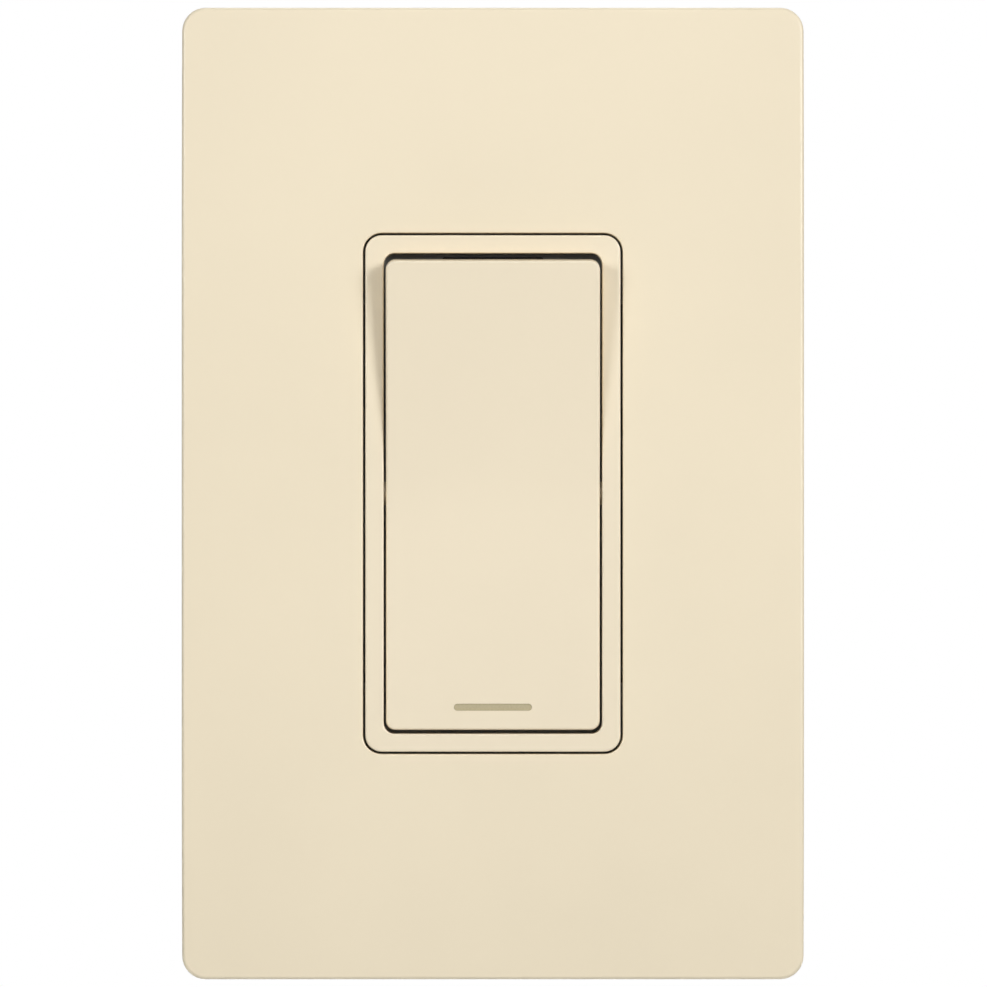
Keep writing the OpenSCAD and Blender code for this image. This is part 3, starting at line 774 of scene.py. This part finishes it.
class SWITCH_OT_wall_plate(bpy.types.Operator):
    """Add the bowed wall plate with its round front edge, opening, snap ribs and pry slot"""

    bl_idname = "switch.wall_plate"
    bl_label = "Wall plate"

    def execute(self, context):
        s = settings("plate")
        low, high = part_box("wall_plate")
        bezel_low, bezel_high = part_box("bezel")
        w, h, front, rear = high.x - low.x, high.z - low.z, low.y, high.y
        ow = bezel_high.x - bezel_low.x + 2 * s.opening_gap
        oh = bezel_high.z - bezel_low.z + 2 * s.opening_gap
        skin = front + s.wall
        iw, ih, ir = w - 2 * s.wall, h - 2 * s.wall, s.corner_r - s.wall / 2
        hoops = [(ow, oh, s.opening_r, skin)]
        hoops += [(ow + 2 * s.lip_r * c, oh + 2 * s.lip_r * c, s.opening_r + s.lip_r * c,
                   front + s.lip_r * (1 - k)) for k, c in arc(4)]
        first = hoops[-1]
        last = (w - 2 * s.edge_r, h - 2 * s.edge_r, s.corner_r - s.edge_r, front)
        spans = 9
        hoops += [tuple(a + (b - a) * k / spans for a, b in zip(first, last))
                  for k in range(1, spans + 1)]
        hoops += [(w - 2 * s.edge_r * (1 - k), h - 2 * s.edge_r * (1 - k),
                   s.corner_r - s.edge_r * (1 - k), front + s.edge_r * c)
                  for k, c in arc(6)[1:]]
        hoops += [(w, h, s.corner_r, rear - 0.15 * MM), (w - 0.3 * MM, h - 0.3 * MM,
                                                         s.corner_r - 0.15 * MM, rear)]
        hoops += [(iw, ih, ir, rear), (iw, ih, ir, skin + 0.4 * MM),
                  (iw - 0.8 * MM, ih - 0.8 * MM, ir - 0.4 * MM, skin)]
        inner_first, inner_last = hoops[-1], hoops[0]
        hoops += [tuple(a + (b - a) * k / 6 for a, b in zip(inner_first, inner_last))
                  for k in range(1, 6)]
        plate = lofted("WallPlate", hoops, cuts=19)
        for vert in plate.data.vertices:
            if vert.co.y < rear - 0.5 * MM:
                vert.co.y += fall(vert.co.z, s.flat_half, s.end_drop, h / 2)
        slot_half, slot_front = 4 * MM, -1.2 * MM
        slot = block((-slot_half, slot_front, low.z - MM), (slot_half, MM, low.z + s.wall + MM))
        combine(plate, "DIFFERENCE", slot)
        rib_z, rib_half, rib_out = 30 * MM, 7 * MM, 0.2 * MM
        rib_front, rib_rear = -1.0 * MM, -0.2 * MM
        ribs = []
        for side in (-1, 1):
            for z in (-rib_z, rib_z):
                x = side * (iw / 2 - rib_out), side * (iw / 2 + 0.1 * MM)
                rib = block((min(x), rib_front, z - rib_half), (max(x), rib_rear, z + rib_half))
                ribs.append(bevelled(rib, lambda a, b: abs(a.z - b.z) > MM, 0.06 * MM, 2))
        combine(plate, "UNION", *ribs)
        finish_piece(plate, "wall_plate", plate_polycarbonate(), 30)
        return {"FINISHED"}


class SWITCH_OT_bezel(bpy.types.Operator):
    """Add the bezel with its round edges, trunnion bores and heat-staked posts"""

    bl_idname = "switch.bezel"
    bl_label = "Bezel"

    def execute(self, context):
        s, p = settings("plate"), settings("paddle")
        low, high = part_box("bezel")
        w, h, front = high.x - low.x, high.z - low.z, low.y
        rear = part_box("strap")[0].y
        r = s.opening_r - s.opening_gap
        e = s.bezel_edge_r
        iw, ih, ir = w - 2 * s.bezel_side, h - 2 * s.bezel_end, s.bezel_inner_r
        hoops = [(w, h, r, rear)]
        hoops += [(w - 2 * e * c, h - 2 * e * c, r - e * c, front + e * (1 - k))
                  for k, c in arc(5)]
        hoops += [(iw + 2 * e * (1 - k), ih + 2 * e * (1 - k), ir + e * (1 - k), front + e * c)
                  for k, c in arc(5)]
        hoops.append((iw, ih, ir, rear))
        bezel = lofted("Bezel", hoops, cuts=7)
        for side in (-1, 1):
            start = Vector((side * (iw / 2 - MM), AXIS.y, 0))
            combine(bezel, "DIFFERENCE",
                    rod(start, side * X, p.trunnion_r + 0.05 * MM, 2.6 * MM))
            for z in (-0.3 * h, 0.3 * h):
                post = domed("Post", 0.8 * MM, high.y - rear + 0.3 * MM, 0.15 * MM)
                x = side * ((w + 0.3 * MM) / 2 - 1.5 * MM)
                combine(bezel, "UNION", aim(post, (x, rear - 0.3 * MM, z), Y))
        finish_piece(bezel, "bezel", device_abs(), 30)
        return {"FINISHED"}


def face_line(s, off, z):
    """Y of the level paddle's two-plane face from its axis, with a round valley."""
    return -off / math.cos(HALF_ROCK) - math.tan(HALF_ROCK) * math.hypot(z, s.valley)


def shaped_block(s, w, half, r, off, rear):
    """A level block whose front follows the paddle's two-plane face."""
    ob = block((-w / 2, -20 * MM, -half), (w / 2, rear, half), "Paddle")
    if r:
        bevelled(ob, along_y, r, 8)
    for z in (0, 0.8, 1.6, 2.5, 3.6, 5, 7, 10, 16, 23):
        for side in {-z * MM, z * MM}:
            edit(ob, "FACE", lambda face: True)
            bpy.ops.mesh.bisect(plane_co=(0, 0, side), plane_no=(0, 0, 1))
            close()
    for vert in ob.data.vertices:
        if vert.co.y < -19 * MM:
            vert.co.y = face_line(s, off, vert.co.z)
    return ob


class SWITCH_OT_paddle(bpy.types.Operator):
    """Add the rocking paddle: face, skirts, web, plunger boss, trunnions and engraved bar"""

    bl_idname = "switch.paddle"
    bl_label = "Paddle"

    def execute(self, context):
        s = settings("paddle")
        low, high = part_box("paddle")
        w = high.x - low.x - 2 * s.trunnion_len
        shell = shaped_block(s, w, s.half_h, s.corner_r, s.face_off, s.skirt_rear)

        def rim(a, b):
            middle = (a + b) / 2
            return (middle.y < -2 * MM and not along_y(a, b)
                    and inside(middle, w, 2 * s.half_h, s.corner_r) < 0.02 * MM)

        bevelled(shell, rim, s.edge_r, 4)
        iw, ih = w - 2 * s.skirt, 2 * (s.half_h - s.end_wall)
        pocket = shaped_block(s, iw, ih / 2, 0, s.face_off - s.skin, 20 * MM)
        combine(shell, "DIFFERENCE", pocket)
        web = block((-iw / 2 - 0.05 * MM, -1.5 * MM, -s.web / 2),
                    (iw / 2 + 0.05 * MM, s.skirt_rear, s.web / 2))
        boss = turned("Boss", [(s.boss_r, -1.5 * MM), (s.boss_r, s.boss_end - 0.4 * MM),
                               (s.boss_r - 0.4 * MM, s.boss_end)], 64)
        combine(shell, "UNION", web, aim(boss, (0, 0, 0), Y))
        for side in (-1, 1):
            lug = rod((side * (iw / 2 - 0.02 * MM), 0, 0), side * X, s.lug_r,
                      s.skirt + 0.02 * MM, 64)
            reach = s.skirt + s.trunnion_len
            pin = turned("Trunnion", [(s.trunnion_r, 0), (s.trunnion_r, reach - 0.25 * MM),
                                      (s.trunnion_r - 0.25 * MM, reach)])
            combine(shell, "UNION", lug, aim(pin, (side * iw / 2, 0, 0), side * X))
        combine(shell, "DIFFERENCE",
                rod((0, -s.bore_start, 0), Y, s.bore_r, s.boss_end + 5 * MM, 64))
        tipped(shell, HALF_ROCK, AXIS)
        shell.name = "Paddle"
        shell.data.materials.clear()
        shell.data.materials.append(device_abs())
        face = AXIS.y - s.face_off
        face -= math.tan(HALF_ROCK) * (math.hypot(s.mark_z, s.valley) - s.mark_z)
        bar = slab(s.mark_w, s.mark_h, s.mark_h / 2 - 0.01 * MM, face - MM, face + s.mark_d,
                   z=-s.mark_z)
        # The bar's tan passes to the recess faces as painted shade inside the engraved bar.
        bar.data.materials.append(engraving_painted_shade())
        combine(shell, "DIFFERENCE", bar)
        finish_piece(shell, "paddle", device_abs(), 30)
        return {"FINISHED"}


class SWITCH_OT_bumpers(bpy.types.Operator):
    """Add the two soft bumpers under the paddle's ends, each with a dished face"""

    bl_idname = "switch.bumpers"
    bl_label = "Paddle bumpers"

    def execute(self, context):
        low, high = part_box("paddle_bumpers")
        depth = 2.6 * MM
        for name, z in (("Bumper.upper", high.z - depth / 2), ("Bumper.lower", low.z + depth / 2)):
            pad = block((low.x, low.y, z - depth / 2), (high.x, high.y, z + depth / 2), name)
            edit(pad, "FACE", lambda face: face.normal.y < -0.9)
            bpy.ops.mesh.inset(thickness=0.5 * MM, depth=0)
            bpy.ops.mesh.inset(thickness=0.15 * MM, depth=-0.15 * MM)
            close()
            bevelled(pad, lambda a, b: abs(inside_box(a, low, high, z, depth)) < 1e-6
                     and abs(inside_box(b, low, high, z, depth)) < 1e-6
                     and along_y(a, b), 0.3 * MM, 4)
            finish_piece(pad, "paddle_bumpers", bumper_rubber())
        return {"FINISHED"}


def inside_box(p, low, high, z, depth):
    """How far a point lies inside the nearer side of a bumper."""
    return min(p.x - low.x, high.x - p.x, depth / 2 - abs(p.z - z))


class SWITCH_OT_sub_plate(bpy.types.Operator):
    """Add the carrier that the wall plate clips on to"""

    bl_idname = "switch.sub_plate"
    bl_label = "Sub-plate"

    def execute(self, context):
        finish_piece(softened("sub_plate", "SubPlate", 0.12 * MM), "sub_plate", device_abs(), 30)
        return {"FINISHED"}


class SWITCH_OT_strap(bpy.types.Operator):
    """Add the pressed mounting strap with its ears and ground tab"""

    bl_idname = "switch.strap"
    bl_label = "Mounting strap"

    def execute(self, context):
        strap = softened("strap", "Strap", 0.1 * MM)
        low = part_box("strap")[0]
        edge = (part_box("bezel")[1].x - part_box("bezel")[0].x) / 2
        # Small shoulders stop daylight from showing past the strap in the bezel's corner gaps.
        out, shoulder_z, shoulder_half, inset = 0.4 * MM, 29 * MM, 4.6 * MM, 0.1 * MM
        for side in (-1, 1):
            for z in (-shoulder_z, shoulder_z):
                x = side * edge, side * (edge + out)
                merged(strap, block((min(x), low.y + inset, z - shoulder_half),
                                    (max(x), -inset, z + shoulder_half)))
        finish_piece(strap, "strap", zinc_sheet(), 30)
        return {"FINISHED"}


def slotted(head, z, width, depth, reach):
    """Cuts a driver slot across the top of a head drawn about +Z."""
    tool = block((-reach, -width / 2, z - depth), (reach, width / 2, z + MM))
    return combine(head, "DIFFERENCE", tool)


class SWITCH_OT_front_screws(bpy.types.Operator):
    """Add the box screws and the sub-plate screws, with slots and wound threads"""

    bl_idname = "switch.front_screws"
    bl_label = "Box and sub-plate screws"

    def execute(self, context):
        m = settings("metal")
        low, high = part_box("mounting_screws")
        z = high.z - m.box_head_r
        seat = low.y + m.box_head_h
        for name, side in (("BoxScrew.upper", 1), ("BoxScrew.lower", -1)):
            head = slotted(domed(name, m.box_head_r, m.box_head_h, 0.5 * MM, 0.5 * MM),
                           m.box_head_h, m.slot_w, 1.0 * MM, 10 * MM)
            aim(head, (0, seat, side * z), -Y)
            neck = rod((0, seat - 0.1 * MM, side * z), Y, 1.5 * MM, 2.2 * MM)
            shank = threaded(name + "Shank", m.box_r, m.pitch, 1.7 * MM, high.y - seat)
            aim(shank, (0, seat, side * z), Y)
            finish_piece(merged(head, neck, shank), "mounting_screws", zinc_turned())
        low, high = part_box("sub_plate_screws")
        z = high.z - m.plate_head_r
        seat = low.y + m.plate_head_h
        for name, side in (("PlateScrew.upper", 1), ("PlateScrew.lower", -1)):
            head = slotted(domed(name, m.plate_head_r, m.plate_head_h, 0.3 * MM, 0.15 * MM),
                           m.plate_head_h, m.slot_w, 0.5 * MM, 10 * MM)
            aim(head, (0, seat, side * z), -Y)
            shank = threaded(name + "Shank", m.plate_r, m.pitch, -0.1 * MM, high.y - seat)
            aim(shank, (0, seat, side * z), Y)
            finish_piece(merged(head, shank), "sub_plate_screws", painted_steel())
        return {"FINISHED"}


class SWITCH_OT_retainers(bpy.types.Operator):
    """Add the two fibre squares that keep the box screws in the strap"""

    bl_idname = "switch.retainers"
    bl_label = "Screw retainers"

    def execute(self, context):
        low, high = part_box("screw_retainers")
        side = high.x - low.x
        for name, z in (("Retainer.upper", high.z - side / 2), ("Retainer.lower", low.z + side / 2)):
            square = slab(side, side, 0.7 * MM, low.y, high.y, z=z, name=name)
            hole = rod((0, low.y - MM, z), Y, 1.53 * MM, 3 * MM)
            combine(square, "DIFFERENCE", hole)
            modified(square, "BEVEL", width=0.06 * MM, segments=2, limit_method="ANGLE",
                     angle_limit=math.radians(60))
            finish_piece(square, "screw_retainers", fibre_board())
        return {"FINISHED"}


class SWITCH_OT_rivets(bpy.types.Operator):
    """Add the four rivets that clamp the strap to the housing"""

    bl_idname = "switch.rivets"
    bl_label = "Assembly rivets"

    def execute(self, context):
        low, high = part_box("assembly_rivets")
        r, h = 2.2 * MM, 0.7 * MM
        for x in (low.x + r, high.x - r):
            for z in (low.z + r, high.z - r):
                name = "Rivet." + ("upper" if z > 0 else "lower") + ("_right" if x > 0 else "_left")
                front = domed(name, r, h, 0.25 * MM, 0.3 * MM)
                aim(front, (x, low.y + h, z), -Y)
                rear = turned("RivetRear", [(r, 0), (r, 0.25 * MM), (r - 0.2 * MM, 0.55 * MM),
                                            (r - 0.6 * MM, h), (0.9 * MM, h), (0.5 * MM, 0.2 * MM)])
                aim(rear, (x, high.y - h, z), Y)
                shank = rod((x, low.y + h - 0.1 * MM, z), Y, 1.2 * MM,
                            high.y - low.y - 2 * h + 0.2 * MM)
                finish_piece(merged(front, rear, shank), "assembly_rivets", zinc_turned())
        return {"FINISHED"}


class SWITCH_OT_ground_screw(bpy.types.Operator):
    """Add the green ground screw: a chamfered hexagon with a slot and a thread"""

    bl_idname = "switch.ground_screw"
    bl_label = "Ground screw"

    def execute(self, context):
        m = settings("metal")
        low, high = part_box("ground_screw")
        r, h = m.ground_head_r, m.ground_head_h
        bpy.ops.mesh.primitive_cylinder_add(vertices=6, radius=r, depth=h, location=(0, 0, h / 2))
        head = settle("GroundScrew")
        cone = turned("Cone", [(r * 1.01, -0.1 * MM), (r * 1.01, h - 0.7 * MM),
                               (r * 0.84, h - 0.08 * MM), (r * 0.8, h), (r * 0.8, h + 0.1 * MM)], 64)
        combine(head, "INTERSECT", cone)
        centre = (low + high) / 2
        take(head)
        head.rotation_euler.z = math.pi / 6
        bpy.ops.object.transform_apply(rotation=True)
        slot_depth, slot_reach = 1.0 * MM, 10 * MM
        tool = block((-m.slot_w / 2, -slot_reach, h - slot_depth), (m.slot_w / 2, slot_reach, h + MM))
        combine(head, "DIFFERENCE", tool)
        seat = (low.x + h, centre.y, centre.z)
        sideways(head, seat, -1)
        shank = threaded("GroundShank", m.ground_r, m.pitch, -0.1 * MM, high.x - low.x - h)
        aim(shank, seat, X)
        finish_piece(merged(head, shank), "ground_screw", green_zinc(), 25)
        return {"FINISHED"}


class SWITCH_OT_terminals(bpy.types.Operator):
    """Add the terminal strips, screws and wire clamps"""

    bl_idname = "switch.terminals"
    bl_label = "Terminals"

    def execute(self, context):
        m = settings("metal")
        for node, name in (("common_terminal", "CommonTerminal"), ("load_terminal", "LoadTerminal"),
                           ("line_clamp", "LineClamp"), ("load_clamp", "LoadClamp")):
            piece = softened(node, name, 0.12 * MM)
            if "clamp" in node:
                self.grooves(piece, node)
            finish_piece(piece, node, rolled_brass(), 30)
        for node, name in (("line_screw", "LineScrew"), ("load_screw", "LoadScrew")):
            low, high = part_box(node)
            centre = (low + high) / 2
            h = m.terminal_head_h
            head = slotted(domed(name, m.terminal_head_r, h, 0.35 * MM, 0.45 * MM), h, m.slot_w,
                           1.2 * MM, 10 * MM)
            seat = (high.x - h, centre.y, centre.z)
            sideways(head, seat, 1)
            shank = threaded(name + "Shank", m.terminal_r, m.pitch, -0.1 * MM,
                             high.x - low.x - h)
            aim(shank, seat, -X)
            finish_piece(merged(head, shank), node, turned_brass())
        return {"FINISHED"}

    @staticmethod
    def grooves(clamp, node):
        """Presses wire grooves into the clamp's inner face, either side of its screw."""
        low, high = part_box(node)
        for z in (low.z + 1.1 * MM, high.z - 1.1 * MM):
            tool = rod((low.x - 0.55 * MM, low.y - MM, z), Y, 0.85 * MM, high.y - low.y + 2 * MM, 24)
            combine(clamp, "DIFFERENCE", tool)


class SWITCH_OT_contacts(bpy.types.Operator):
    """Add the tilting contact bridge and the two silver contacts"""

    bl_idname = "switch.contacts"
    bl_label = "Bridge and contacts"

    def execute(self, context):
        finish_piece(softened("contact_bridge", "ContactBridge", 0.12 * MM), "contact_bridge",
                     rolled_brass(), 30)
        low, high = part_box("moving_contact")
        r = (high.x - low.x) / 2
        arm, rear, tall, crown = 9.5 * MM, 0.5 * MM, 0.9 * MM, 0.3 * MM
        sphere = (r ** 2 + crown ** 2) / (2 * crown)
        rings = [r * (1 - k / 8) for k in range(8)] + [0.02 * r]
        profile = [(r, 0)] + [(q, tall - sphere + math.sqrt(sphere ** 2 - q ** 2)) for q in rings]
        button = aim(turned("MovingContact", profile), (0, rear, -arm), Y)
        tipped(button, -HALF_TILT, BRIDGE_AXIS)
        finish_piece(button, "moving_contact", silver_alloy())
        low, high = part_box("fixed_contact")
        button = domed("FixedContact", 2.2 * MM, high.y - low.y, 0.12 * MM)
        aim(button, (0, high.y, (low.z + high.z) / 2), -Y)
        finish_piece(button, "fixed_contact", silver_alloy())
        return {"FINISHED"}


class SWITCH_OT_plunger(bpy.types.Operator):
    """Add the acetal plunger and its spring"""

    bl_idname = "switch.plunger"
    bl_label = "Plunger and spring"

    def execute(self, context):
        m = settings("metal")
        r, neck, back, ball = 2.5 * MM, 16.92 * MM, 8.92 * MM, 1.5 * MM
        tip = 19.32 * MM
        low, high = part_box("plunger")
        profile = [(r - 0.2 * MM, back), (r, back + 0.2 * MM), (r, neck), (1.35 * MM, tip - 0.5 * MM)]
        turns = [math.radians(a) for a in (-10, 5, 20, 35, 50, 65, 80)]
        profile += [(ball * math.cos(a), tip + ball * math.sin(a)) for a in turns]
        profile.append((0.02 * ball, tip + ball))
        plunger = aim(turned("Plunger", profile), (0, 0, 0), Y)
        tipped(plunger, HALF_ROCK, AXIS)
        finish_piece(plunger, "plunger", acetal_turned())
        start, end = -0.25 * MM, back - 0.25 * MM
        bpy.ops.mesh.primitive_circle_add(vertices=12, radius=m.wire_r,
                                          location=(m.coil_r, 0, start),
                                          rotation=(math.pi / 2, 0, 0))
        spring = settle("PlungerSpring")
        modified(spring, "SCREW", axis="Z", angle=2 * math.pi, iterations=m.turns,
                 screw_offset=(end - start) / m.turns, steps=28, render_steps=28,
                 use_merge_vertices=False)
        edit(spring, "EDGE", lambda a, b: True)
        bpy.ops.mesh.fill_holes(sides=14)
        close()
        outward(spring)
        aim(spring, (0, 0, 0), Y)
        tipped(spring, HALF_ROCK, AXIS)
        finish_piece(spring, "plunger_spring", spring_wire())
        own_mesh(spring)
        return {"FINISHED"}


class SWITCH_OT_housing(bpy.types.Operator):
    """Add the moulded housing behind the strap and its inner cover"""

    bl_idname = "switch.housing"
    bl_label = "Housing"

    def execute(self, context):
        low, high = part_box("housing")
        w, h = high.x - low.x, high.z - low.z
        housing = softened("housing", "Housing", 0.2 * MM,
                           lambda p: p.y > high.y - 0.01 * MM and inside(p, w, h, 2 * MM) < 0.1 * MM,
                           0.5 * MM)
        finish_piece(housing, "housing", phenolic_moulding(), 30)
        finish_piece(softened("mechanism_cover", "MechanismCover", 0.15 * MM), "mechanism_cover",
                     phenolic_moulding(), 30)
        return {"FINISHED"}


def soft_light(name, at, side, power, target=(0, 0, 0), spread=180):
    """A square area light that faces a target, narrowed by a grid, and unseen by the camera."""
    bpy.ops.object.light_add(type="AREA", location=at)
    lamp = bpy.context.object
    lamp.name = name
    lamp.rotation_euler = (Vector(target) - Vector(at)).to_track_quat("-Z", "Y").to_euler()
    lamp.data.size = side
    lamp.data.energy = power
    lamp.data.spread = math.radians(spread)
    lamp.visible_camera = False
    return lamp


class SWITCH_OT_stage(bpy.types.Operator):
    """Add the floor, the white surroundings, the soft lights and the camera"""

    bl_idname = "switch.stage"
    bl_label = "Stage"

    def execute(self, context):
        s = settings("stage")
        scene = context.scene
        bpy.ops.mesh.primitive_plane_add(size=3, location=(0, 0, -s.floor_z))
        floor = settle("Floor")
        floor.data.materials.append(floor_paper())
        world = bpy.data.worlds.new("White surroundings")
        scene.world = world
        world.use_nodes = True
        tree = world.node_tree
        tree.nodes.clear()
        # The backdrop is seen as paper white, and lights the switch less than it looks.
        ray = add(tree, "ShaderNodeLightPath")
        strength = add(tree, "ShaderNodeMapRange", None,
                       {"Value": ray.outputs["Is Camera Ray"], "To Min": s.world, "To Max": 1.0})
        light = add(tree, "ShaderNodeBackground", None,
                    {"Color": (1, 1, 1, 1), "Strength": strength.outputs["Result"]})
        add(tree, "ShaderNodeOutputWorld", None, {"Surface": light.outputs["Background"]})
        # Grids aimed above the middle let the lower end fall off. The key at the right throws the
        # paddle's shadow on the bezel's left bar, and the fill a weaker one on the right bar. The
        # small upper light is close, so it lights the top end more than the bottom end.
        soft_light("KeyLight", (0.68, -0.8, 0.26), 0.42, s.key, (-0.03, 0, 0.015), 45)
        soft_light("FillLight", (-0.7, -0.78, 0.22), 0.38, s.fill, (0.03, 0, 0.015), 45)
        soft_light("UpperLight", (0.0, -0.3, 0.34), 0.2, s.upper, (0, 0, 0.05), 45)
        soft_light("BackLightLeft", (-0.7, 0.8, 0.5), 0.6, s.back)
        soft_light("BackLightRight", (0.8, 0.6, 0.7), 0.6, s.back)
        soft_light("TopLight", (0, 1.0, 1.0), 0.6, s.top, (0, 0.7, -s.floor_z), 70)
        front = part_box("wall_plate")[0].y
        bpy.ops.object.camera_add(location=(0.08 * MM, front - s.distance, 0),
                                  rotation=(math.pi / 2, 0, 0))
        camera = context.object
        camera.data.sensor_width = 36
        camera.data.lens = camera.data.sensor_width * s.distance / s.field
        camera.data.clip_start, camera.data.clip_end = 0.05, 20
        scene.camera = camera
        scene.view_settings.view_transform = "Standard"
        return {"FINISHED"}


STEPS = (
    SWITCH_OT_wall_plate, SWITCH_OT_sub_plate, SWITCH_OT_bezel, SWITCH_OT_paddle,
    SWITCH_OT_bumpers, SWITCH_OT_strap, SWITCH_OT_front_screws, SWITCH_OT_retainers,
    SWITCH_OT_rivets, SWITCH_OT_ground_screw, SWITCH_OT_plunger, SWITCH_OT_contacts,
    SWITCH_OT_terminals, SWITCH_OT_housing, SWITCH_OT_stage,
)


class SWITCH_PT_panel(bpy.types.Panel):
    """Lists the steps that build the wall switch, with their settings"""

    bl_idname = "SWITCH_PT_panel"
    bl_label = "Wall switch"
    bl_space_type = "VIEW_3D"
    bl_region_type = "UI"
    bl_category = "Wall switch"

    def draw(self, context):
        column = self.layout.column()
        for step in STEPS:
            column.operator(step.bl_idname)
        for name, group in GROUPS.items():
            box = self.layout.box()
            box.label(text=name.title())
            for prop in group.__annotations__:
                box.prop(settings(name), prop)


GROUPS = {
    "plate": SwitchPlateSizes,
    "paddle": SwitchPaddleSizes,
    "metal": SwitchMetalSizes,
    "colours": SwitchColours,
    "stage": SwitchStage,
}


def register():
    """Registers the classes and gives the scene its settings."""
    for group in GROUPS.values():
        bpy.utils.register_class(group)
    for name, group in GROUPS.items():
        setattr(bpy.types.Scene, "switch_" + name, PointerProperty(type=group))
    for step in STEPS:
        bpy.utils.register_class(step)
    bpy.utils.register_class(SWITCH_PT_panel)


def unregister():
    """Takes the settings and the classes away again."""
    bpy.utils.unregister_class(SWITCH_PT_panel)
    for step in reversed(STEPS):
        bpy.utils.unregister_class(step)
    for name, group in GROUPS.items():
        delattr(bpy.types.Scene, "switch_" + name)
        bpy.utils.unregister_class(group)


def main():
    """Builds every piece in order."""
    register()
    bpy.ops.object.select_all(action="DESELECT")
    for step in STEPS:
        group, name = step.bl_idname.split(".")
        getattr(getattr(bpy.ops, group), name)()


if __name__ == "__main__":
    main()
